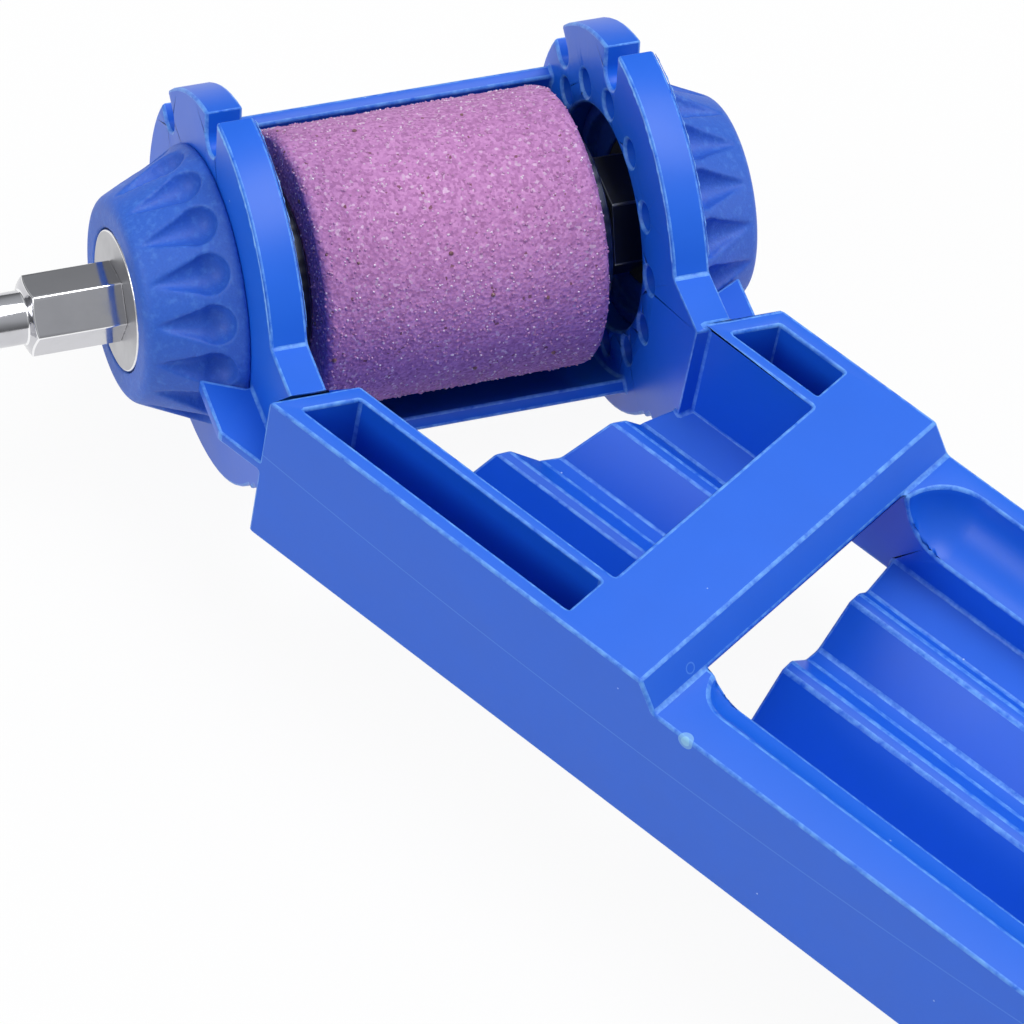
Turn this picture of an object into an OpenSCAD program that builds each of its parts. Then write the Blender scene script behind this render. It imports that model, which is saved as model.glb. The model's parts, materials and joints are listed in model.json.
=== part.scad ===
// Hand-held drill bit sharpener. A hex spindle, turned by a power drill, spins an abrasive drum
// between two round cheeks. The bit lies in a V groove of the handle, along X, and meets the drum
// at half its point angle. Origin: centre of the drum on the spindle axis. +Z up.

/* [Point angle] */
// Full angle ground on the bit
point_angle = 118; // [90:1:140]

/* [Handle and rails] */
// Width of the body across both rails
body_w = 40.6; // [36:0.1:52]
// Y of the outer face of the left rail
body_left_y = -30; // [-33:0.1:-28]
// Width of the left rail
left_rail_w = 7.1; // [6:0.1:9]
// Width of the right rail
right_rail_w = 6.5; // [5.5:0.1:8]
// Height of the front rails and bridge above the spindle axis
front_top = 9.7; // [8.5:0.1:12]
// Height of the handle top above the spindle axis
handle_top = 7; // [6:0.1:8]
// Underside of the body below the spindle axis
body_depth = 8; // [7.8:0.1:12]
// X of the far end of the handle
handle_end_x = 150; // [110:1:190]
// Thickness of the moulded walls
wall = 1.5; // [1.2:0.1:1.8]
// Thickness of the grooved floor
floor_t = 1.6; // [1.2:0.1:2]
// Radius of the handle's end corners
end_r = 6; // [3:0.5:6.5]

/* [Bridge] */
// X where the bridge starts
bridge_x = 40; // [36:0.5:46]
// Length of the bridge's top along X
bridge_l = 8.6; // [6:0.1:14]
// Length of the slope from the bridge down to the handle
bridge_slope = 1.9; // [1:0.1:4]
// Gap in the floor past the bridge's slope
window_extra = 0.7; // [0.5:0.1:4]

/* [Cheeks] */
// Distance between the cheeks' inner faces
cheek_gap = 33.7; // [32:0.1:40]
// Thickness of each cheek
cheek_t = 3.4; // [3:0.1:4.5]
// Radius of the cheeks
cheek_r = 18.5; // [17.9:0.1:22]
// Radius of the tab between the two notches
tab_r = 17.6; // [16.5:0.1:17.8]
// Width of the notches in the rim
notch_w = 2.8; // [2:0.1:3.2]
// Radius from the axis to the bottom of the notches
notch_r = 15.5; // [15.3:0.1:15.8]
// Diameter of the blind holes in the inner faces
core_hole_d = 2.6; // [2:0.1:2.8]
// Depth of the blind holes
core_hole_depth = 2.4; // [1:0.1:2.6]
// Distance from the spindle axis to the front of the rails
front_g = 21.3; // [20:0.1:26]

/* [Guard trough] */
// Inner radius of the trough under the drum
trough_r = 14.7; // [14:0.1:15.4]
// Thickness of the trough
trough_t = 1.3; // [1.1:0.1:2.4]

/* [Drum] */
// Radius of the abrasive drum
drum_r = 12.7; // [11:0.1:13.2]
// Length of the drum
drum_l = 26.4; // [20:0.1:26.8]
// Rounding of the drum's edges
drum_edge = 0.8; // [0.3:0.1:1.5]
// Radius of the drum's bore
drum_bore_r = 5; // [4.5:0.1:6]
// Radius of the clamping flanges
flange_r = 8.5; // [7:0.1:10]
// Thickness of the clamping flanges
flange_t = 1.8; // [1.2:0.1:2]

/* [Spindle] */
// Width across the flats of the hex shank
hex_af = 6.35; // [6.3:0.01:6.4]
// Length of the hex shank outside the cap
hex_l = 19.6; // [18:0.1:30]
// Distance from the shank's tip to the middle of its ball groove
groove_from_tip = 9.5; // [8:0.1:12]
// Radius of the round journal
journal_r = 3; // [2.8:0.1:3.1]

/* [Bearing caps] */
// Length of a cap outside its cheek
cap_l = 8.4; // [8.2:0.1:10]
// Radius of a cap at the cheek
cap_base_r = 12.7; // [12:0.1:14]
// Radius of a cap at its outer end
cap_end_r = 9.5; // [8.6:0.1:10.5]
// Radius of the cap's threaded spigot
spigot_r = 10.3; // [9.8:0.1:10.5]
// Length of the spigot inside the cheek
spigot_l = 1.6; // [1:0.1:3]
// Depth of the scallops at their blunt end
scallop_depth = 1.6; // [1:0.1:1.6]
// Number of finger scallops
scallops = 16; // [12:1:18]
// Radius of a scallop
scallop_r = 1.9; // [1.4:0.1:2.2]

/* [Bearings] */
// Outer radius of the bearings
bearing_r = 6.5; // [6.4:0.1:6.8]
// Width of the bearings
bearing_w = 5; // [4.5:0.1:5]
// Radius of the balls
ball_r = 1.1; // [1:0.05:1.15]
// Number of balls in a bearing
balls = 8; // [7:1:9]
// Thickness of the end washers
washer_t = 0.8; // [0.5:0.1:1]

/* [Clearances] */
// Running clearance on a radius
running = 0.08; // [0.05:0.01:0.1]
// Gap between pieces that turn past each other
gap = 0.3; // [0.2:0.05:0.5]

/* [Hidden] */
$fn = 96;
skew = 90 - point_angle / 2;
body_right_y = body_left_y + body_w;
left_in = body_left_y + left_rail_w;
right_in = body_right_y - right_rail_w;
body_bottom = -body_depth;
in_s = cheek_gap / 2;
out_s = in_s + cheek_t;
face_s = out_s + cap_l;
bridge_end = bridge_x + bridge_l + bridge_slope;
window_end = bridge_end + window_extra;
drum_s = drum_l / 2;
flange_s = drum_s + flange_t;
bearing_out = face_s - washer_t;
bearing_in = bearing_out - bearing_w;
// Heights of the floor at its two sides
floor_left_z = -3.2;
floor_right_z = -1.4;
// Rails start behind the cheeks, and the cheeks and webs reach this far into them
rail_start = -20;
rail_hold = 0.7;
pocket_wall = 1.2;
pocket_end = 0.6;
// Thumb scoops of the handle
scoop_left_r = 4;
scoop_right_r = 5.1;
scoop_lift = 2;
scoop_off = 0.35;
scoop_start = 0.5;
// Cheeks
notch_angles = [104, 152];
cheek_relief = 0.4;
back_r = cheek_r - 1.4;
cheek_bottom = body_bottom + 0.2;
core_hole_ring = 12.2;
core_holes = 13;
// Webs: reach past the cheek on each side, gap round the cap, lower face and thickness
web_left = 4.3;
web_right = 6;
web_gap = 0.35;
web_z = 0.3;
web_t = 1.1;
// Caps
cap_round = 1.3;
cap_rim = 0.5;
cap_slope = atan((cap_base_r - cap_end_r) / (cap_l - cap_rim - cap_round));
scallop_z = 2.9;
scallop_l = cap_l - scallop_z;
shoulder_t = 1;
shoulder_z = cap_l - washer_t - bearing_w;
shoulder_r = bearing_r - 1.2;
cavity_r = bearing_r + 0.1;
recess_r = spigot_r - 1.2;
recess_z = -0.5;
// Spindle and what sits on it
tip_s = face_s + hex_l;
tip_bevel = 1.2;
groove_r = 2.4;
groove_w = 3;
hex_r = hex_af / sqrt(3);
hex_turn = 15;
ring_t = 0.6;
ring_s = face_s + 0.05;
ring_groove_r = journal_r - 0.3;
ring_out_r = journal_r + 1.2;
ring_mouth = 1.4;
end_s = face_s + ring_t + 1;
spacer_r = journal_r + 1.2;
lock_t = 1.2;
lock_r = 5;
lock_slit = 0.8;
nut_s = flange_s + lock_t;
nut_t = 3.2;
nut_af = 10;
seal_t = 1.6;
// Bearings
pitch_r = (journal_r + bearing_r) / 2;
race_t = 0.9;
cage_t = 0.7;
cage_w = 3.2;
ball_play = 0.02;
// Longer than any piece
reach = 400;

// Helpers

// Turns pieces drawn about local Y onto the spindle axis
module on_axis() rotate([0, 0, -skew]) children();

// Radius of a cap's cone at a distance out from its cheek
function cap_r(z) = cap_base_r - (z - cap_rim) * (cap_base_r - cap_end_r) / (cap_l - cap_rim - cap_round);

// Extrudes an outline in the cheek's plane from s0 to s1 along the spindle
module along(s0, s1) translate([0, s1, 0]) rotate([90, 0, 0]) linear_extrude(s1 - s0) children();

module ring(s0, s1, outer, inner) along(s0, s1) difference() {
    circle(outer);
    circle(inner);
}

// Extrudes an outline in Y and Z from x0 to x1
module lengthwise(x0, x1) translate([x0, 0, 0]) rotate([90, 0, 90]) linear_extrude(x1 - x0) children();

// Everything past the sloping front face of the rails
module behind_front() on_axis() translate([front_g, -reach / 2, -reach / 2]) cube(reach);

function polar(r, a) = [r * cos(a), r * sin(a)];

function arc(c, r, a0, a1, n) = [for (i = [0:n]) c + polar(r, a0 + (a1 - a0) * i / n)];

// A pie slice from angle a0 to a1, wide enough to cut any ring here
module sector(a0, a1, r = 60) polygon(concat([[0, 0]], arc([0, 0], r, a0, a1, 12)));

// Frame: rails, bridge, grooved floor, cheeks and guard trough, one moulding

// Grooved floor, from left to right: three V grooves in steps that rise to the right
// Each point is a share of the channel's width, and a height
groove_points = [[0, floor_left_z], [0.08, -3.4], [0.24, -7.7], [0.315, -7.8], [0.444, -3.4],
    [0.489, -3.3], [0.585, -5.5], [0.648, -5.6], [0.781, -1.9], [0.826, -1.9], [0.874, -2.9],
    [1, floor_right_z]];
floor_top = [for (p = groove_points) [left_in + p[0] * (right_in - left_in), p[1]]];

module floor_outline() polygon(concat(floor_top,
    [for (i = [len(floor_top) - 1:-1:0]) floor_top[i] - [0, floor_t]]));

module floor_sheet() {
    lengthwise(rail_start, bridge_x) floor_outline();
    lengthwise(window_end, handle_end_x) floor_outline();
}

module outer_walls(top) {
    translate([body_left_y, body_bottom]) square([wall, top - body_bottom]);
    translate([body_right_y - wall, body_bottom]) square([wall, top - body_bottom]);
}

// Rails cored from below, as far as the floor allows
module cored_rails(top) {
    outer_walls(top);
    translate([body_left_y, top - wall]) square([left_rail_w, wall]);
    translate([right_in, top - wall]) square([right_rail_w, wall]);
    translate([left_in - wall, floor_left_z - floor_t]) square([wall, top - floor_left_z + floor_t]);
    translate([right_in, floor_right_z - floor_t]) square([wall, top - floor_right_z + floor_t]);
}

module front_rails() lengthwise(rail_start, bridge_x) {
    translate([body_left_y, body_bottom]) square([left_rail_w, front_top - body_bottom]);
    translate([right_in, body_bottom]) square([right_rail_w, front_top - body_bottom]);
}

// Pocket in a front rail, open at the top, with its near end along the spindle
module pocket(y0, y1) intersection() {
    translate([rail_start, y0, body_bottom + wall])
        cube([bridge_x - pocket_end - rail_start, y1 - y0, reach]);
    on_axis() translate([front_g + wall, -reach / 2, -reach / 2]) cube(reach);
}

module bridge() translate([0, body_right_y, 0]) rotate([90, 0, 0]) linear_extrude(body_w)
    polygon([[bridge_x, handle_top - 0.2], [bridge_x, front_top], [bridge_x + bridge_l, front_top],
        [bridge_end, handle_top], [bridge_end, handle_top - 0.2]]);

// The two rails as solid bars below the handle's top
module rail_bars(x0, x1) lengthwise(x0, x1) for (y = [body_left_y, right_in])
    translate([y, body_bottom])
        square([y < 0 ? left_rail_w : right_rail_w, handle_top - body_bottom]);

module handle() {
    lengthwise(bridge_x, handle_end_x) cored_rails(handle_top);
    rail_bars(bridge_x, bridge_x + wall);
    rail_bars(window_end, window_end + wall);
    rail_bars(handle_end_x - end_r, handle_end_x);
    intersection() {
        rail_bars(bridge_end, handle_end_x);
        union() {
            scoop(left_in + scoop_off, handle_top + scoop_lift, scoop_left_r, wall);
            scoop(right_in - scoop_off, handle_top + scoop_off, scoop_right_r, wall);
        }
    }
}

// Thumb scoop along the inner edge of a rail, with round ends, grown by the thickness of its shell
module scoop(y, z, r, shell = 0) {
    x0 = bridge_end + scoop_start + r;
    x1 = handle_end_x - end_r - r;
    for (x = [x0, x1]) translate([x, y, z]) sphere(r + shell);
    translate([x0, y, z]) rotate([0, 90, 0]) cylinder(r = r + shell, h = x1 - x0);
}

module cheek_outline() difference() {
    union() {
        circle(cheek_r);
        translate([0, cheek_bottom]) square([front_g + rail_hold, front_top - cheek_bottom]);
    }
    difference() {
        sector(notch_angles[0], notch_angles[1]);
        circle(tab_r);
    }
    difference() {
        sector(-180, -30);
        circle(cheek_r - cheek_relief);
        translate([0, cheek_bottom]) square([reach, reach]);
    }
    difference() {
        sector(notch_angles[1], 200);
        circle(back_r);
    }
    for (a = notch_angles) rotate(a) translate([notch_r, 0]) {
        circle(d = notch_w);
        translate([0, -notch_w / 2]) square([reach, notch_w]);
    }
    circle(spigot_r + running);
}

// Blind holes of the inner faces, on one circle
module core_holes() for (i = [1:core_holes]) rotate(notch_angles[0] + i * 360 / core_holes)
    translate([core_hole_ring, 0]) circle(d = core_hole_d);

module cheeks() for (side = [-1, 1]) difference() {
    along(side < 0 ? -out_s : in_s, side < 0 ? -in_s : out_s) cheek_outline();
    along(side < 0 ? -in_s - core_hole_depth : in_s - 1, side < 0 ? 1 - in_s : in_s + core_hole_depth)
        core_holes();
}

module trough() along(-in_s - 1, in_s + 1) intersection() {
    difference() {
        circle(trough_r + trough_t);
        circle(trough_r);
    }
    sector(168, 318);
}

// Webs that brace the cheeks' outer faces against the rails
module web(out) translate([0, 0, web_z]) linear_extrude(web_t) polygon([
    [cap_base_r + web_gap, out_s - 1], [cap_base_r + web_gap, out_s + cap_rim],
    [cap_r(out) + web_gap, out_s + out], [front_g + rail_hold, out_s + out],
    [front_g + rail_hold, out_s - 1]]);

module webs() {
    intersection() {
        on_axis() mirror([0, 1, 0]) web(web_left);
        translate([-reach, body_left_y, -reach]) cube(2 * reach);
    }
    on_axis() web(web_right);
}

module handle_ends() translate([0, 0, -50]) linear_extrude(100) difference() {
    translate([-reach, body_left_y - 20]) square([reach + handle_end_x, body_w + 60]);
    difference() {
        translate([handle_end_x - end_r, body_left_y - 21]) square([end_r + 1, end_r + 21]);
        translate([handle_end_x - end_r, body_left_y + end_r]) circle(end_r);
    }
    difference() {
        translate([handle_end_x - end_r, body_right_y - end_r]) square([end_r + 1, end_r + 61]);
        translate([handle_end_x - end_r, body_right_y - end_r]) circle(end_r);
    }
}

module frame() color("royalblue") {
    intersection() {
        difference() {
            union() {
                front_rails();
                bridge();
                handle();
                floor_sheet();
            }
            pocket(body_left_y + wall, left_in - pocket_wall);
            pocket(right_in + pocket_wall, body_right_y - wall);
            scoop(left_in + scoop_off, handle_top + scoop_lift, scoop_left_r);
            scoop(right_in - scoop_off, handle_top + scoop_off, scoop_right_r);
        }
        behind_front();
        handle_ends();
    }
    on_axis() {
        cheeks();
        trough();
    }
    webs();
}

// Bearing caps

// Half outline of a cap: radius against distance out from the cheek
cap_outline = concat([[recess_r, -spigot_l], [spigot_r, -spigot_l], [spigot_r, 0],
    [cap_base_r, 0], [cap_base_r, cap_rim]],
    arc([cap_end_r - cap_round, cap_l - cap_round], cap_round, 25, 90, 6),
    [[bearing_r, cap_l], [bearing_r, shoulder_z], [shoulder_r, shoulder_z],
    [shoulder_r, shoulder_z - shoulder_t], [cavity_r, shoulder_z - shoulder_t],
    [cavity_r, recess_z], [recess_r, recess_z]]);

// Leaf-shaped: blunt near the cheek, and running out before the small end
module scallop() translate([cap_r(scallop_z) + scallop_r - scallop_depth, 0, scallop_z])
    rotate([0, -cap_slope, 0]) {
        sphere(scallop_r);
        cylinder(r1 = scallop_r, r2 = 0.1, h = scallop_l);
    }

module cap() difference() {
    rotate_extrude() polygon(cap_outline);
    for (i = [0:scallops - 1]) rotate((i + 0.5) * 360 / scallops) scallop();
}

module bearing_cap_left() color("royalblue") on_axis() translate([0, -out_s, 0]) rotate([90, 0, 0])
    cap();

module bearing_cap_right() color("royalblue") on_axis() translate([0, out_s, 0]) rotate([-90, 0, 0])
    cap();

// Spindle: hex shank with a ball groove, then a round journal to the far bearing

module hex_shank() difference() {
    along(-tip_s, -face_s) rotate(hex_turn) circle(hex_r, $fn = 6);
    translate([0, -tip_s + groove_from_tip, 0]) rotate([-90, 0, 0]) rotate_extrude()
        polygon([[groove_r, -groove_w / 2], [groove_r, groove_w / 2], [hex_af, groove_w],
            [hex_af, -groove_w]]);
    translate([0, -tip_s, 0]) rotate([-90, 0, 0]) difference() {
        translate([0, 0, -1]) cylinder(r = hex_af, h = tip_bevel + 1);
        translate([0, 0, -1]) cylinder(r1 = hex_r - tip_bevel - 0.8, r2 = hex_r + 0.3,
            h = tip_bevel + 1.1);
    }
}

module spindle() color("silver") on_axis() difference() {
    union() {
        hex_shank();
        along(-face_s, end_s) circle(journal_r);
    }
    ring(ring_s, ring_s + ring_t, journal_r + 1, ring_groove_r);
}

// Drum and what clamps it

drum_outline = concat([[drum_bore_r, -drum_s], [drum_r - drum_edge, -drum_s]],
    arc([drum_r - drum_edge, -drum_s + drum_edge], drum_edge, -90, 0, 4),
    arc([drum_r - drum_edge, drum_s - drum_edge], drum_edge, 0, 90, 4), [[drum_bore_r, drum_s]]);

module grinding_drum() color("orchid") on_axis() rotate([-90, 0, 0]) rotate_extrude()
    polygon(drum_outline);

module drum_bush() color("dimgray") on_axis() ring(-drum_s, drum_s, drum_bore_r, journal_r);

module flange_left() color("lightsteelblue") on_axis() ring(-flange_s, -drum_s, flange_r, journal_r);

module flange_right() color("lightsteelblue") on_axis() ring(drum_s, flange_s, flange_r, journal_r);

module lock_washer() color("silver") on_axis() along(flange_s, flange_s + lock_t) difference() {
    circle(lock_r);
    circle(journal_r);
    translate([0, -lock_slit / 2]) square([lock_r + 1, lock_slit]);
}

module clamp_nut() color("silver") on_axis() along(nut_s, nut_s + nut_t) difference() {
    circle(nut_af / sqrt(3), $fn = 6);
    circle(journal_r);
}

module spacer_left() color("silver") on_axis() ring(-bearing_in, -flange_s, spacer_r, journal_r);

module spacer_right() color("silver") on_axis() ring(nut_s + nut_t, bearing_in, spacer_r, journal_r);

// Bearings: two races, balls and a cage on each side

module bearing_outer(s0) ring_race(s0, bearing_r, bearing_r - race_t);

module bearing_inner(s0) ring_race(s0, journal_r + race_t, journal_r);

module ring_race(s0, outer, inner) color("silver") on_axis() difference() {
    ring(s0, s0 + bearing_w, outer, inner);
    translate([0, s0 + bearing_w / 2, 0]) rotate([-90, 0, 0]) rotate_extrude() translate([pitch_r, 0])
        circle(ball_r + ball_play);
}

module ball_set(s0, r) on_axis() translate([0, s0 + bearing_w / 2, 0]) for (i = [0:balls - 1])
    rotate([0, i * 360 / balls, 0]) translate([pitch_r, 0, 0]) sphere(r);

module bearing_balls(s0) color("silver") ball_set(s0, ball_r);

module bearing_cage(s0) color("goldenrod") difference() {
    on_axis() ring(s0 + (bearing_w - cage_w) / 2, s0 + (bearing_w + cage_w) / 2, pitch_r + cage_t / 2,
        pitch_r - cage_t / 2);
    ball_set(s0, ball_r + ball_play);
}

module bearing_outer_left() bearing_outer(-bearing_out);
module bearing_inner_left() bearing_inner(-bearing_out);
module bearing_balls_left() bearing_balls(-bearing_out);
module bearing_cage_left() bearing_cage(-bearing_out);
module bearing_outer_right() bearing_outer(bearing_in);
module bearing_inner_right() bearing_inner(bearing_in);
module bearing_balls_right() bearing_balls(bearing_in);
module bearing_cage_right() bearing_cage(bearing_in);

// Seals, end washers and the ring that holds the spindle

module dust_seal(s0) color("darkslategray") on_axis() ring(s0, s0 + seal_t, cavity_r, spacer_r + running);

module dust_seal_left() dust_seal(-bearing_in + shoulder_t + gap);
module dust_seal_right() dust_seal(bearing_in - shoulder_t - gap - seal_t);

module end_washer(s0) color("silver") on_axis() ring(s0, s0 + washer_t, bearing_r - 0.15, journal_r);

module end_washer_left() end_washer(-face_s);
module end_washer_right() end_washer(bearing_out);

module retaining_ring() color("dimgray") on_axis() along(ring_s, ring_s + ring_t) difference() {
    circle(ring_out_r);
    circle(ring_groove_r);
    translate([0, -ring_mouth / 2]) square([ring_out_r + 1, ring_mouth]);
}

frame();
bearing_cap_left();
bearing_cap_right();
spindle();
grinding_drum();
drum_bush();
flange_left();
flange_right();
lock_washer();
clamp_nut();
spacer_left();
spacer_right();
bearing_outer_left();
bearing_inner_left();
bearing_balls_left();
bearing_cage_left();
bearing_outer_right();
bearing_inner_right();
bearing_balls_right();
bearing_cage_right();
dust_seal_left();
dust_seal_right();
end_washer_left();
end_washer_right();
retaining_ring();
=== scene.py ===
# %% [markdown]
# # A hand-held drill bit sharpener
# A power drill turns the hex shank, the shank turns an abrasive drum between two round cheeks,
# and a bit laid in one of the grooves of the handle meets the drum at half of its point angle.
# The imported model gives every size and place. This lesson only adds what the eye sees: softened
# mouldings, a gritty wheel, metal that reflects, and a plain studio.

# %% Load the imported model
import bmesh
import bpy
import json
import math
import random
from mathutils import Matrix, Vector, noise


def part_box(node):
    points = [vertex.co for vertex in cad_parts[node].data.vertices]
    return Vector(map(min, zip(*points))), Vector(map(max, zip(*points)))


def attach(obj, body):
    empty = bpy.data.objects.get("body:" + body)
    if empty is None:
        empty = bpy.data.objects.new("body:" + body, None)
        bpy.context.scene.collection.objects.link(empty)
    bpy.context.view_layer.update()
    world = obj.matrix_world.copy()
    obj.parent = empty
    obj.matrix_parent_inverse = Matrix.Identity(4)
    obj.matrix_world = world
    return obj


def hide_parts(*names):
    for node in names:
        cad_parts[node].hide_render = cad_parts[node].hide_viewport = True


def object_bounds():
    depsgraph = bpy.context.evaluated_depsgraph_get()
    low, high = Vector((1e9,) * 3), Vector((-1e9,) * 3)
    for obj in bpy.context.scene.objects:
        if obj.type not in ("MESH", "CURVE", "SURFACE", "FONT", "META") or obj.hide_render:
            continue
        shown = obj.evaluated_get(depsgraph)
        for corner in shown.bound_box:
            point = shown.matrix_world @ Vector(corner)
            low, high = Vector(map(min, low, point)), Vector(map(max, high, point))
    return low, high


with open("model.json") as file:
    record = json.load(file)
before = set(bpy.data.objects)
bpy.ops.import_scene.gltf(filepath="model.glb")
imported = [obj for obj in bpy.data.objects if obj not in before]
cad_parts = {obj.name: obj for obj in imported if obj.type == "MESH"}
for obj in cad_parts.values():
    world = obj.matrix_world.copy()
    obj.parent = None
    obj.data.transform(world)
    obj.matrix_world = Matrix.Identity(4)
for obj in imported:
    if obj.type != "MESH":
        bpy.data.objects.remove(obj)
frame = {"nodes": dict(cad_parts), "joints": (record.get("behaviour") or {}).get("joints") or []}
cad_low, cad_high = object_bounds()
MM = 0.001

# %% [markdown]
# The spindle is skewed to the handle. Its direction comes from the joint that spins it, so a sharpener
# packed for another point angle would still get its details in the right places.

# %% Directions and sizes read from the model
spin = next(j for j in frame["joints"] if j["name"] == "spindle_spin")
ALONG = Vector(spin["axis"]).normalized()
UP = Vector((0, 0, 1))
OUTWARD = ALONG.cross(UP).normalized()
print("spindle points", tuple(round(c, 3) for c in ALONG), "rails face", tuple(round(c, 3) for c in OUTWARD))


def reach_along(node, direction):
    """Lowest and highest distance of a node's points along a direction."""
    mesh = frame["nodes"][node].data
    spans = [v.co.dot(direction) for v in mesh.vertices]
    return min(spans), max(spans)


drum_left, drum_right = reach_along("grinding_drum", ALONG)
drum_radius = reach_along("grinding_drum", UP)[1]
body_low, body_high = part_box("frame")
print("drum radius %.1f mm, length %.1f mm" % (drum_radius / MM, (drum_right - drum_left) / MM))

# %% [markdown]
# ## Camera
# The camera stands to the left of the handle and looks down on it along a long lens, which keeps the
# edges of the handle almost parallel. Its place and its three axes are all that set the view.

# %% Make the camera
CAMERA_PLACE = Vector((0.24137, -0.37122, 0.50704))
CAMERA_RIGHT = Vector((0.75538, 0.64320, 0.12648))
CAMERA_DOWN = Vector((0.56577, -0.54258, -0.62023))
CAMERA_AHEAD = Vector((-0.32956, 0.53999, -0.77359))

lens = bpy.data.cameras.new("camera")
lens.sensor_width = 36
lens.lens = 265.76
lens.clip_start = 0.01
camera = bpy.data.objects.new("camera", lens)
turn = Matrix((CAMERA_RIGHT, -CAMERA_DOWN, -CAMERA_AHEAD)).transposed()
camera.matrix_world = Matrix.Translation(CAMERA_PLACE) @ turn.to_4x4()
bpy.context.collection.objects.link(camera)
bpy.context.scene.camera = camera
print("camera stands %.0f mm from the drum" % (CAMERA_PLACE.length / MM))

# %% [markdown]
# ## Writing shaders as sums
# A material is a small calculation done at each point of a surface. Wiring Math nodes by hand hides
# the formula, so a little class lets Python write it: adding two values adds a Math node.

# %% Values that add nodes when they are combined
class Value:
    """A number that changes over a surface."""

    def __init__(self, finish, socket):
        self.finish = finish
        self.socket = socket

    def math(self, operation, first, second):
        return self.finish.node("ShaderNodeMath", {"operation": operation}, {0: first, 1: second})

    def __add__(self, other): return self.math("ADD", self, other)
    def __radd__(self, other): return self.math("ADD", other, self)
    def __sub__(self, other): return self.math("SUBTRACT", self, other)
    def __rsub__(self, other): return self.math("SUBTRACT", other, self)
    def __mul__(self, other): return self.math("MULTIPLY", self, other)
    def __rmul__(self, other): return self.math("MULTIPLY", other, self)
    def __truediv__(self, other): return self.math("DIVIDE", self, other)
    def __gt__(self, other): return self.math("GREATER_THAN", self, other)
    def __lt__(self, other): return self.math("LESS_THAN", self, other)


class Finish:
    """A material with one shader, and the calculation that feeds it."""

    def __init__(self, name, **fixed):
        self.material = bpy.data.materials.new(name)
        self.material.use_nodes = True
        self.tree = self.material.node_tree
        self.shader = self.tree.nodes["Principled BSDF"]
        for socket, number in fixed.items():
            self.shader.inputs[socket.replace("_", " ")].default_value = number

    def node(self, kind, settings=None, inputs=None, out=0):
        made = self.tree.nodes.new(kind)
        for key, setting in (settings or {}).items():
            if key == "stops":
                self.set_stops(made.color_ramp, setting)
            else:
                setattr(made, key, setting)
        for key, given in (inputs or {}).items():
            self.plug(made.inputs[key], given)
        return Value(self, made.outputs[out])

    def set_stops(self, ramp, stops):
        while len(ramp.elements) < len(stops):
            ramp.elements.new(1)
        for element, (place, level) in zip(ramp.elements, stops):
            element.position = place
            element.color = (level, level, level, 1) if isinstance(level, (int, float)) else (*level, 1)

    def plug(self, socket, given):
        if isinstance(given, Value):
            self.tree.links.new(given.socket, socket)
        else:
            socket.default_value = given

    def set(self, **links):
        for socket, given in links.items():
            self.plug(self.shader.inputs[socket.replace("_", " ")], given)

    def place(self):
        return self.node("ShaderNodeTexCoord", out="Object")

    def parts_of(self, vector):
        split = self.node("ShaderNodeSeparateXYZ", inputs={0: vector})
        node = split.socket.node
        return [Value(self, node.outputs[i]) for i in range(3)]

    def clouds(self, size_mm, detail=2, rough=0.5, at=None):
        """Soft noise from 0 to 1 whose lumps are about size_mm across."""
        return self.node("ShaderNodeTexNoise", {}, {"Vector": at or self.place(), "Scale": 1 / (size_mm * MM),
            "Detail": detail, "Roughness": rough})

    def cells(self, size_mm, out="Distance", at=None, feature="F1"):
        """Irregular cells about size_mm across: the distance to the middle of each, or its own colour."""
        return self.node("ShaderNodeTexVoronoi", {"feature": feature},
            {"Vector": at or self.place(), "Scale": 1 / (size_mm * MM)}, out)

    def ramp(self, value, *stops):
        return self.node("ShaderNodeValToRGB", {"stops": stops}, {0: value})

    def blend(self, factor, first, second):
        first, second = [(*c, 1) if isinstance(c, tuple) else c for c in (first, second)]
        return self.node("ShaderNodeMix", {"data_type": "RGBA"}, {0: factor, 6: first, 7: second}, 2)

    def bump(self, height, depth_mm, under=None):
        inputs = {"Height": height, "Distance": depth_mm * MM, "Strength": 1.0}
        if under:
            inputs["Normal"] = under
        return self.node("ShaderNodeBump", {}, inputs)

    def math_one(self, operation, value):
        return self.node("ShaderNodeMath", {"operation": operation}, {0: value})


def within(finish, centre_mm, radius_mm):
    """1 inside a ball round a point of the object, in millimetres, and 0 outside."""
    away = finish.node("ShaderNodeVectorMath", {"operation": "DISTANCE"},
        {0: finish.place(), 1: Vector(centre_mm) * MM}, "Value")
    return away < radius_mm * MM


print("shader helpers ready")

# %% [markdown]
# ## Studio
# The floor is white to the camera, and a little of its real shading is kept, so that the sharpener
# still stands in its own soft shadow. Lamps and sky stay at a level where a colour comes out as written.

# %% Lay the floor
floor_mesh = bpy.data.meshes.new("floor")
half_floor = 3.0
floor_level = cad_low.z
floor_mesh.from_pydata([(x, y, floor_level) for x, y in
    ((-half_floor, -half_floor), (half_floor, -half_floor), (half_floor, half_floor), (-half_floor, half_floor))],
    [], [(0, 1, 2, 3)])
floor = bpy.data.objects.new("floor", floor_mesh)
bpy.context.collection.objects.link(floor)

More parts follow.
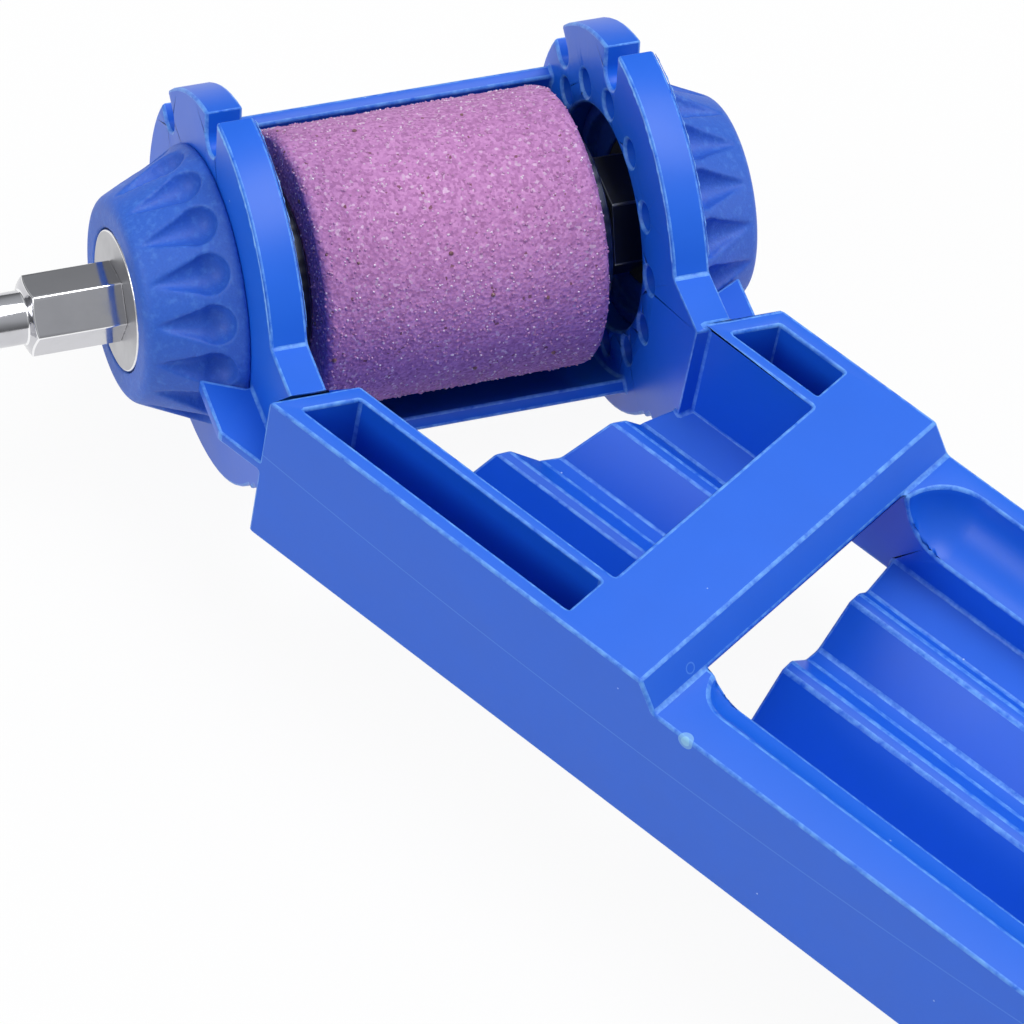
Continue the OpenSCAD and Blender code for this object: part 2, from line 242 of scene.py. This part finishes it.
paper = Finish("floor_paper", Roughness=1.0)
paper.set(Base_Color=(0.8, 0.8, 0.8, 1))
rays = paper.node("ShaderNodeLightPath")
ray = {name: Value(paper, rays.socket.node.outputs[name])
    for name in ("Is Camera Ray", "Is Glossy Ray", "Is Transmission Ray")}
lifted = (ray["Is Camera Ray"] + ray["Is Glossy Ray"] + ray["Is Transmission Ray"]) * 0.94
white = paper.node("ShaderNodeEmission", {}, {"Color": (1, 1, 1, 1), "Strength": 1.0})
mixed = paper.node("ShaderNodeMixShader", {}, {0: lifted, 1: Value(paper, paper.shader.outputs[0]), 2: white})
paper.tree.links.new(mixed.socket, paper.tree.nodes["Material Output"].inputs["Surface"])
floor_mesh.materials.append(paper.material)
print("floor at %.1f mm" % (floor_level / MM))

# %% Light the room
SKY_LEVEL = 0.6
HORIZON_LEVEL = 0.16

world = bpy.data.worlds.new("room")
bpy.context.scene.world = world
world.use_nodes = True
sky = world.node_tree.nodes["Background"]
sky.inputs["Color"].default_value = (0.95, 0.97, 1.0, 1)
path = world.node_tree.nodes.new("ShaderNodeLightPath")
seen = world.node_tree.nodes.new("ShaderNodeMath")
seen.operation = "MAXIMUM"
world.node_tree.links.new(path.outputs["Is Camera Ray"], seen.inputs[0])
world.node_tree.links.new(path.outputs["Is Transmission Ray"], seen.inputs[1])
level = world.node_tree.nodes.new("ShaderNodeMapRange")
heaven = world.node_tree.nodes.new("ShaderNodeTexCoord")
split = world.node_tree.nodes.new("ShaderNodeSeparateXYZ")
world.node_tree.links.new(heaven.outputs["Generated"], split.inputs[0])
height = world.node_tree.nodes.new("ShaderNodeMapRange")
height.interpolation_type = "SMOOTHSTEP"
height.inputs["From Min"].default_value = 0.0
height.inputs["From Max"].default_value = 0.9
height.inputs["To Min"].default_value = HORIZON_LEVEL
height.inputs["To Max"].default_value = SKY_LEVEL
world.node_tree.links.new(split.outputs["Z"], height.inputs["Value"])
world.node_tree.links.new(height.outputs["Result"], level.inputs["To Min"])
level.inputs["To Max"].default_value = 1.0
world.node_tree.links.new(seen.outputs[0], level.inputs["Value"])
world.node_tree.links.new(level.outputs["Result"], sky.inputs["Strength"])


def softbox(name, place, aim, size, power, tint=(1, 1, 1)):
    lamp = bpy.data.lights.new(name, "AREA")
    lamp.shape = "RECTANGLE"
    lamp.size, lamp.size_y = size
    lamp.energy = power
    lamp.color = tint
    box = bpy.data.objects.new(name, lamp)
    ahead = (Vector(aim) - Vector(place)).normalized()
    box.rotation_euler = ahead.to_track_quat("-Z", "Y").to_euler()
    box.location = place
    bpy.context.collection.objects.link(box)
    print(name, "stands %.2f m away" % (Vector(place) - Vector(aim)).length)


softbox("overhead_box", (0.1, 0.25, 1.0), (0.04, 0, 0), (0.7, 0.5), 6.0)
softbox("left_box", (-0.38, -0.8, 0.55), (0.06, 0, 0), (0.6, 0.4), 3.2)
softbox("far_box", (0.75, 0.6, 0.4), (0.06, 0, 0), (0.5, 0.5), 2.0)

# %% [markdown]
# ## Softened mouldings
# A moulded or turned part never has a knife edge, and its small rounded edges are what catch the light.
# The imported meshes are loose triangles, so a copy is merged and a bevel rounds every edge that is
# sharp. The bevel may carry a paler finish of its own: partly edges that rub first, partly a painted highlight.

# %% Replace a node by a copy with rounded edges
def softened(node, body, finish, edge_finish, width_mm, segments=2, sharpest=28, merge_mm=0.004):
    source = frame["nodes"][node]
    shape = bmesh.new()
    shape.from_mesh(source.data)
    bmesh.ops.remove_doubles(shape, verts=shape.verts, dist=merge_mm * MM)
    mesh = bpy.data.meshes.new(node + "_soft")
    shape.to_mesh(mesh)
    shape.free()
    mesh.materials.clear()
    mesh.materials.append(finish.material)
    mesh.materials.append(edge_finish.material)
    for face in mesh.polygons:
        face.use_smooth = True
        face.material_index = 0
    piece = bpy.data.objects.new(node + "_soft", mesh)
    bpy.context.collection.objects.link(piece)
    bevel = piece.modifiers.new("rounded_edges", "BEVEL")
    bevel.width = width_mm * MM
    bevel.segments = segments
    bevel.limit_method = "ANGLE"
    bevel.angle_limit = math.radians(sharpest)
    # The bevel faces take the edge finish: partly rubbed wear, partly a painted highlight along the edge.
    bevel.material = 1
    bevel.use_clamp_overlap = False
    bevel.miter_outer = "MITER_ARC"
    flat = piece.modifiers.new("flat_faces", "WEIGHTED_NORMAL")
    flat.keep_sharp = True
    flat.weight = 80
    done = bpy.data.meshes.new_from_object(piece.evaluated_get(bpy.context.evaluated_depsgraph_get()))
    piece.modifiers.clear()
    piece.data = done
    done.name = node + "_soft"
    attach(piece, body)
    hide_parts(node)
    print(node, "softened:", len(done.polygons), "faces")
    return piece


# %% [markdown]
# ## Blue plastic of the body
# The body is one moulding in royal blue ABS with a semi-gloss skin. Up close the skin is slightly
# uneven and holds a few pale specks of dust, and its edges turn pale: partly where it was handled or
# trimmed, partly as a painted highlight. One function makes both finishes, and the edges get more of the pale
# blend.

# %% Blue plastic finishes
BODY_BLUE = (0.008, 0.125, 0.72)
# PALE_BLUE is the pale of worn or trimmed plastic; on the body's edges it is also a painted highlight.
PALE_BLUE = (0.16, 0.42, 0.92)


bridge_far = 50.5
GATE_MARK = (bridge_far + 3.6, body_low.y / MM + 0.1, 6.6)
BLISTER = (bridge_far - 0.5, body_low.y / MM + 5.5, 7.9)


def blue_plastic(name, pale_wear_and_sheen, gloss=0.34):
    m = Finish(name, IOR=1.42)
    uneven = m.clouds(7, 3)
    fine = m.clouds(0.5, 2)
    speck_middle = m.cells(2.6)
    speck_tint = m.node("ShaderNodeSeparateColor", inputs={0: m.cells(2.6, "Color")})
    speck = (speck_middle < 0.035) * (speck_tint > 0.72)
    # Pale patches; on the body's bevelled edges they are partly rubbed wear, partly a painted highlight.
    wear_and_sheen_patches = m.ramp(m.clouds(0.9, 4, 0.65), (0.50 - pale_wear_and_sheen * 0.25, 0), (0.80 - pale_wear_and_sheen * 0.2, 1))
    wear_and_sheen_patches = wear_and_sheen_patches * pale_wear_and_sheen
    deep = m.blend(uneven, tuple(c * 0.94 for c in BODY_BLUE), tuple(c * 1.05 for c in BODY_BLUE))
    wear_and_sheen_colour = m.blend(wear_and_sheen_patches, deep, PALE_BLUE)
    gate = within(m, GATE_MARK, 0.75)
    gate_core = within(m, GATE_MARK, 0.45)
    wear_and_sheen_colour = m.blend(gate * 0.45 + gate_core * 0.35, wear_and_sheen_colour, (0.30, 0.62, 0.85))
    blister = within(m, BLISTER, 0.55) - within(m, BLISTER, 0.42)
    x, y, z = m.parts_of(m.place())
    seam_height = (x - 0.045) * (x - 0.045) * 1.1 + 0.0011
    from_seam = m.math_one("ABSOLUTE", z - seam_height)
    seam = (from_seam < 0.00006) * (y < body_low.y + 0.0002)
    wear_and_sheen_colour = m.blend(blister * 0.35 + seam * 0.3, wear_and_sheen_colour, PALE_BLUE)
    m.set(Base_Color=m.blend(speck * 0.8, wear_and_sheen_colour, (0.45, 0.62, 0.95)))
    m.set(Roughness=gloss + 0.10 * uneven + 0.12 * wear_and_sheen_patches)
    m.set(Normal=m.bump(fine, 0.004, m.bump(uneven, 0.03)))
    return m


body_plastic = blue_plastic("body_plastic", 0.0)
# The edge finish paints the bevels pale: partly rubbed wear, partly a painted highlight along the edges.
body_edge = blue_plastic("body_plastic_edge", 0.8, 0.3)
print("blue plastic made")

# %% Soften the body
body = softened("frame", "frame", body_plastic, body_edge, 0.28, merge_mm=0.04)

# %% [markdown]
# ## Flash on the cheeks
# Where the two halves of a mould meet, a little plastic squeezes out and is torn off. It leaves a thin,
# ragged, pale line, which runs here along the rims of both cheeks. Each line is a strip of small
# teeth of random height, so that no two stretches look alike.

# %% Ragged strips along the rims
CHEEK_RADIUS = body_high.z / MM
CHEEK_FACES_MM = (16.85, 20.25)
flash_finish = Finish("torn_flash", Roughness=0.5, IOR=1.42)
ragged = flash_finish.clouds(0.4, 3)
flash_finish.set(Base_Color=flash_finish.blend(ragged, (0.06, 0.26, 0.82), (0.30, 0.58, 0.95)))
flash_finish.set(Roughness=0.45 + 0.2 * ragged)


def rim_flash(name, along_mm, outward, first, last, seed):
    chance = random.Random(seed)
    steps = round(math.radians(last - first) * CHEEK_RADIUS / 0.22)
    points, faces = [], []
    tall = 0.0
    for k in range(steps + 1):
        a = math.radians(first + (last - first) * k / steps)
        out = OUTWARD * math.cos(a) + UP * math.sin(a)
        goal = chance.choice((0.0, 0.02, 0.04, 0.08, 0.16)) if k % 2 else tall
        tall = 0.5 * tall + 0.5 * goal
        foot = ALONG * along_mm * MM + out * (CHEEK_RADIUS - 0.16) * MM
        points += [foot, foot + (ALONG * outward * 0.9 + out * 0.5) * (tall + 0.02) * MM,
            foot + out * (0.15 + tall * 0.5) * MM]
    for k in range(steps):
        i, j = 3 * k, 3 * k + 3
        faces += [(i, i + 1, j + 1, j), (i + 1, i + 2, j + 2, j + 1), (i + 2, i, j, j + 2)]
    faces += [(0, 2, 1), (3 * steps, 3 * steps + 1, 3 * steps + 2)]
    mesh = bpy.data.meshes.new(name)
    mesh.from_pydata(points, [], faces)
    shape = bmesh.new()
    shape.from_mesh(mesh)
    bmesh.ops.recalc_face_normals(shape, faces=shape.faces)
    shape.to_mesh(mesh)
    shape.free()
    mesh.materials.append(flash_finish.material)
    strip = bpy.data.objects.new(name, mesh)
    bpy.context.collection.objects.link(strip)
    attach(strip, "frame")
    return strip


near, far = CHEEK_FACES_MM
for name, place, outward in (("flash_left_outer", -far, -1), ("flash_left_inner", -near, 1),
        ("flash_right_inner", near, -1), ("flash_right_outer", far, 1)):
    rim_flash(name + "_front", place, outward, 36, 98, len(name))
print("flash strips made")

# %% [markdown]
# ## Caps
# The two caps are moulded in the same blue with a fine spark texture for grip.

# %% Cap finish
def spark_plastic(name, pale_wear_and_sheen):
    m = Finish(name, IOR=1.46)
    grain = m.clouds(0.22, 2, 0.7)
    broad = m.clouds(4, 2)
    wear_and_sheen_patches = m.ramp(m.clouds(0.7, 3, 0.6), (0.52, 0), (0.8, 1)) * pale_wear_and_sheen
    base = m.blend(grain, (0.016, 0.09, 0.50), (0.035, 0.15, 0.66))
    m.set(Base_Color=m.blend(wear_and_sheen_patches, base, PALE_BLUE))
    m.set(Roughness=0.38 + 0.2 * grain + 0.05 * broad)
    m.set(Normal=m.bump(grain, 0.035))
    return m


cap_plastic = spark_plastic("cap_plastic", 0.25)


def remeshed(node, body, finish, voxel_mm, passes):
    source = frame["nodes"][node]
    mesh = source.data.copy()
    mesh.name = node + "_soft"
    piece = bpy.data.objects.new(node + "_soft", mesh)
    bpy.context.collection.objects.link(piece)
    merge = piece.modifiers.new("merge", "WELD")
    merge.merge_threshold = 2e-6
    grid = piece.modifiers.new("even_grid", "REMESH")
    grid.mode = "VOXEL"
    grid.voxel_size = voxel_mm * MM
    grid.use_smooth_shade = True
    ease = piece.modifiers.new("ease_edges", "SMOOTH")
    ease.factor = 0.5
    ease.iterations = passes
    done = bpy.data.meshes.new_from_object(piece.evaluated_get(bpy.context.evaluated_depsgraph_get()))
    piece.modifiers.clear()
    piece.data = done
    done.materials.clear()
    done.materials.append(finish.material)
    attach(piece, body)
    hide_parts(node)
    print(node, "remeshed:", len(done.polygons), "faces")
    return piece


for side in ("left", "right"):
    remeshed("bearing_cap_" + side, "frame", cap_plastic, 0.19, 3)

# %% [markdown]
# ## Steel
# Chrome plate is nearly a mirror. The washers are ground, the flanges and the nut are zinc plated but drawn
# in a very dark steel that paints the shade of the gaps beside the drum, the bearing races are bright, and the
# retaining ring is blackened spring steel. They share one recipe: metal, with fine scratches that change the
# roughness.
# metal, with fine scratches that change the roughness.

# %% Metal finishes
def metal(name, tint, gloss, scratch_mm=0.25, depth_mm=0.002, dirt=0.12):
    m = Finish(name, Metallic=1.0)
    scratches = m.clouds(scratch_mm, 3, 0.7)
    stains = m.ramp(m.clouds(3, 3, 0.6), (0.45, 0), (0.75, 1))
    m.set(Base_Color=m.blend(stains * dirt, tint, tuple(c * 0.55 for c in tint)))
    m.set(Roughness=gloss + 0.08 * scratches + 0.1 * stains)
    m.set(Normal=m.bump(scratches, depth_mm))
    return m


chrome = metal("chrome_steel", (0.60, 0.60, 0.63), 0.07, 1.5, 0.001)
# The _edge finishes are lighter tints for the bevels: partly rubbed metal, partly a painted highlight along the
# edges.
chrome_edge = metal("chrome_steel_edge", (0.92, 0.92, 0.94), 0.05, 1.5, 0.001)
washer_steel = metal("washer_steel", (0.50, 0.50, 0.52), 0.34)
washer_edge = metal("washer_steel_edge", (0.85, 0.85, 0.86), 0.2)
plain_steel = metal("plain_steel", (0.56, 0.58, 0.61), 0.3)
dark_steel = metal("dark_steel", (0.10, 0.11, 0.13), 0.3)
dark_edge = metal("dark_steel_edge", (0.30, 0.32, 0.36), 0.25)
bearing_steel = metal("bearing_steel", (0.66, 0.67, 0.69), 0.12)
cage_brass = metal("cage_brass", (0.72, 0.50, 0.20), 0.28)
spring_steel = metal("spring_steel", (0.10, 0.10, 0.11), 0.4)
spring_edge = metal("spring_steel_edge", (0.2, 0.2, 0.21), 0.35)

softened("spindle", "spindle", chrome, chrome_edge, 0.12)
for side in ("left", "right"):
    softened("end_washer_" + side, "spindle", washer_steel, washer_edge, 0.15)
    # The flanges, the lock washer and the nut get the very dark steel: painted shade of the gaps they sit in.
    softened("flange_" + side, "spindle", dark_steel, dark_edge, 0.2)
softened("lock_washer", "spindle", dark_steel, dark_edge, 0.1)
softened("clamp_nut", "spindle", dark_steel, dark_edge, 0.15)
softened("retaining_ring", "spindle", spring_steel, spring_edge, 0.06)

# %% [markdown]
# ## Felt and hidden plastic
# Two felt rings keep grit out of the bearings, and a plastic bush centres the drum on the spindle. They
# show only when the caps are off, but each still gets its own finish.

# %% Felt and bush finishes
felt = Finish("felt", Roughness=0.95)
fibres = felt.clouds(0.12, 4, 0.8)
felt.set(Base_Color=felt.blend(fibres, (0.035, 0.04, 0.04), (0.12, 0.13, 0.13)))
felt.set(Normal=felt.bump(fibres, 0.08))
bush_plastic = Finish("bush_plastic", IOR=1.45)
flow = bush_plastic.clouds(1.2, 3)
bush_plastic.set(Base_Color=bush_plastic.blend(flow, (0.06, 0.06, 0.065), (0.1, 0.1, 0.105)))
bush_plastic.set(Roughness=0.45 + 0.15 * flow)
bush_plastic.set(Normal=bush_plastic.bump(flow, 0.01))

# %% Give the inner nodes their finishes
inner = {"drum_bush": bush_plastic, "spacer_left": plain_steel, "spacer_right": plain_steel,
    "dust_seal_left": felt, "dust_seal_right": felt}
for side in ("left", "right"):
    inner["bearing_outer_" + side] = bearing_steel
    inner["bearing_inner_" + side] = bearing_steel
    inner["bearing_balls_" + side] = bearing_steel
    inner["bearing_cage_" + side] = cage_brass
for node, finish in inner.items():
    mesh = frame["nodes"][node].data
    mesh.materials.clear()
    mesh.materials.append(finish.material)
print("inner nodes finished:", len(inner))

# %% [markdown]
# ## Abrasive drum
# The drum is pink corundum in a glassy bond. Its surface is thousands of broken crystals, some of
# them clear enough to glitter, with a few brown ones; the glittering ones also get a paler colour, a painted
# glint. A flat cylinder with a bumpy finish looks like rubber, so the surface is a fine grid that is really
# rough, and loose crystals stand on it.

# %% Abrasive finish
abrasive = Finish("abrasive", Roughness=0.85)
crystal = abrasive.cells(0.26, "Color")
shade = abrasive.node("ShaderNodeSeparateColor", inputs={0: crystal})
bright = Value(abrasive, shade.socket.node.outputs[1])
spot = Value(abrasive, shade.socket.node.outputs[2])
mottle = abrasive.clouds(1.1, 3, 0.6)
tone = abrasive.ramp(shade * 0.6 + mottle * 0.4, (0.1, (0.33, 0.13, 0.32)), (0.5, (0.49, 0.21, 0.48)),
    (0.9, (0.62, 0.30, 0.60)))
glitter = bright > 0.95
brown = spot > 0.994
# Glitter cells: the lower roughness is the glossy clear crystal, the paler colour is a painted glint.
tone = abrasive.blend(glitter * 0.35, tone, (0.8, 0.66, 0.82))
tone = abrasive.blend(brown * 0.8, tone, (0.16, 0.06, 0.07))
abrasive.set(Base_Color=tone)
abrasive.set(Roughness=0.9 - 0.55 * glitter)
abrasive.set(Normal=abrasive.bump(abrasive.cells(0.34), 0.07, abrasive.bump(mottle, 0.05)))

# %% Build the rough drum
GRAIN_MM = 0.26
ROUGHNESS_MM = 0.09
EDGE_ROUND_MM = 0.8


def drum_outline():
    """Distance along the spindle and radius, from the bore round the outside and back to the bore."""
    bore = 5.0 * MM
    edge = EDGE_ROUND_MM * MM
    corners = []
    for k in range(7):
        a = math.radians(90 * k / 6)
        corners.append((drum_left + edge - edge * math.cos(a), drum_radius - edge + edge * math.sin(a)))
    steps = round((drum_right - drum_left - 2 * edge) / (GRAIN_MM * MM))
    side = [(drum_left + edge + (drum_right - drum_left - 2 * edge) * k / steps, drum_radius)
        for k in range(1, steps)]
    mirrored = [(drum_left + drum_right - s, r) for s, r in reversed(corners)]
    face = [(drum_left, bore + (drum_radius - edge - bore) * k / 12) for k in range(12)]
    far_face = [(drum_left + drum_right - s, r) for s, r in reversed(face)]
    return face + corners + side + mirrored + far_face


def rough_drum():
    outline = drum_outline()
    around = round(2 * math.pi * drum_radius / (GRAIN_MM * MM))
    ahead = OUTWARD
    points, faces = [], []
    for i in range(around):
        a = 2 * math.pi * i / around
        out = ahead * math.cos(a) + UP * math.sin(a)
        for s, r in outline:
            p = ALONG * s + out * r
            lump = noise.noise(p / (0.42 * MM)) * 0.6 + noise.noise(p / (0.19 * MM)) * 0.4
            inward = out if drum_left < s < drum_right else ALONG * (1 if s > 0 else -1)
            points.append(p + inward * (lump - 0.5) * ROUGHNESS_MM * MM)
    n = len(outline)
    for i in range(around):
        j = (i + 1) % around
        for k in range(n):
            m = (k + 1) % n
            faces.append((i * n + k, i * n + m, j * n + m, j * n + k))
    mesh = bpy.data.meshes.new("abrasive_drum")
    mesh.from_pydata(points, [], faces)
    mesh.update()
    shape = bmesh.new()
    shape.from_mesh(mesh)
    bmesh.ops.recalc_face_normals(shape, faces=shape.faces)
    shape.to_mesh(mesh)
    shape.free()
    for face in mesh.polygons:
        face.use_smooth = True
    mesh.materials.append(abrasive.material)
    piece = bpy.data.objects.new("abrasive_drum", mesh)
    bpy.context.collection.objects.link(piece)
    print("drum:", len(mesh.polygons), "faces")
    return piece


drum = rough_drum()

# %% [markdown]
# Loose crystals repeat by the thousand, so Geometry Nodes scatter them: points fall on the drum at
# random from a fixed seed, each point gets a tiny faceted stone, turned and sized at random, and the
# tree ends in real mesh with its own finish. One tree serves the clear stones and the brown ones.

# %% Stone finishes
clear_stone = Finish("clear_crystal", Roughness=0.12, IOR=1.76)
cloud = clear_stone.clouds(0.3, 2)
clear_stone.set(Base_Color=clear_stone.blend(cloud, (0.62, 0.42, 0.62), (0.92, 0.82, 0.92)))
pink_stone = Finish("pink_crystal", Roughness=0.3, IOR=1.76)
cloud = pink_stone.clouds(0.3, 2)
pink_stone.set(Base_Color=pink_stone.blend(cloud, (0.36, 0.13, 0.33), (0.58, 0.30, 0.56)))
brown_stone = Finish("brown_crystal", Roughness=0.4, IOR=1.7)
cloud = brown_stone.clouds(0.2, 2)
brown_stone.set(Base_Color=brown_stone.blend(cloud, (0.10, 0.04, 0.05), (0.26, 0.12, 0.12)))

# %% Grow the scattering tree
def stone_tree():
    tree = bpy.data.node_groups.new("scatter_stones", "GeometryNodeTree")
    face = tree.interface
    face.new_socket("Geometry", in_out="INPUT", socket_type="NodeSocketGeometry")
    for name, kind in (("Stones per square metre", "NodeSocketFloat"), ("Smallest", "NodeSocketFloat"),
            ("Largest", "NodeSocketFloat"), ("Seed", "NodeSocketInt"), ("Finish", "NodeSocketMaterial")):
        face.new_socket(name, in_out="INPUT", socket_type=kind)
    face.new_socket("Geometry", in_out="OUTPUT", socket_type="NodeSocketGeometry")
    nodes, links = tree.nodes, tree.links
    given = nodes.new("NodeGroupInput")
    points = nodes.new("GeometryNodeDistributePointsOnFaces")
    links.new(given.outputs["Geometry"], points.inputs["Mesh"])
    links.new(given.outputs["Stones per square metre"], points.inputs["Density"])
    links.new(given.outputs["Seed"], points.inputs["Seed"])
    stone = nodes.new("GeometryNodeMeshIcoSphere")
    stone.inputs["Radius"].default_value = 1.0
    stone.inputs["Subdivisions"].default_value = 1
    turn = nodes.new("FunctionNodeRandomValue")
    turn.data_type = "FLOAT_VECTOR"
    turn.inputs["Max"].default_value = (math.tau, math.tau, math.tau)
    links.new(given.outputs["Seed"], turn.inputs["Seed"])
    size = nodes.new("FunctionNodeRandomValue")
    size.data_type = "FLOAT"
    links.new(given.outputs["Smallest"], size.inputs["Min"].node.inputs[2])
    links.new(given.outputs["Largest"], size.inputs[3])
    placed = nodes.new("GeometryNodeInstanceOnPoints")
    links.new(points.outputs["Points"], placed.inputs["Points"])
    links.new(stone.outputs["Mesh"], placed.inputs["Instance"])
    links.new(turn.outputs["Value"], placed.inputs["Rotation"])
    links.new(size.outputs[1], placed.inputs["Scale"])
    real = nodes.new("GeometryNodeRealizeInstances")
    links.new(placed.outputs["Instances"], real.inputs["Geometry"])
    paint = nodes.new("GeometryNodeSetMaterial")
    links.new(real.outputs["Geometry"], paint.inputs["Geometry"])
    links.new(given.outputs["Finish"], paint.inputs["Material"])
    result = nodes.new("NodeGroupOutput")
    links.new(paint.outputs["Geometry"], result.inputs["Geometry"])
    return tree


stones_of = stone_tree()


def stones(name, finish, per_square_mm, smallest_mm, largest_mm, seed):
    seat = bpy.data.objects.new(name, drum.data.copy())
    bpy.context.collection.objects.link(seat)
    scatter = seat.modifiers.new("stones", "NODES")
    scatter.node_group = stones_of
    sizes = {"Stones per square metre": per_square_mm / MM**2, "Smallest": smallest_mm * MM,
        "Largest": largest_mm * MM, "Seed": seed, "Finish": finish.material}
    for socket in stones_of.interface.items_tree:
        if socket.in_out == "INPUT" and socket.name in sizes:
            scatter[socket.identifier] = sizes[socket.name]
    done = bpy.data.meshes.new_from_object(seat.evaluated_get(bpy.context.evaluated_depsgraph_get()))
    seat.modifiers.clear()
    seat.data = done
    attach(seat, "spindle")
    print(name, len(done.polygons), "faces")


stones("clear_stones", clear_stone, 0.55, 0.05, 0.13, 3)
stones("pink_stones", pink_stone, 1.1, 0.08, 0.17, 5)
stones("brown_stones", brown_stone, 0.012, 0.12, 0.25, 8)
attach(drum, "spindle")
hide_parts("grinding_drum")

# %% View plainly
bpy.context.scene.view_settings.view_transform = "Standard"
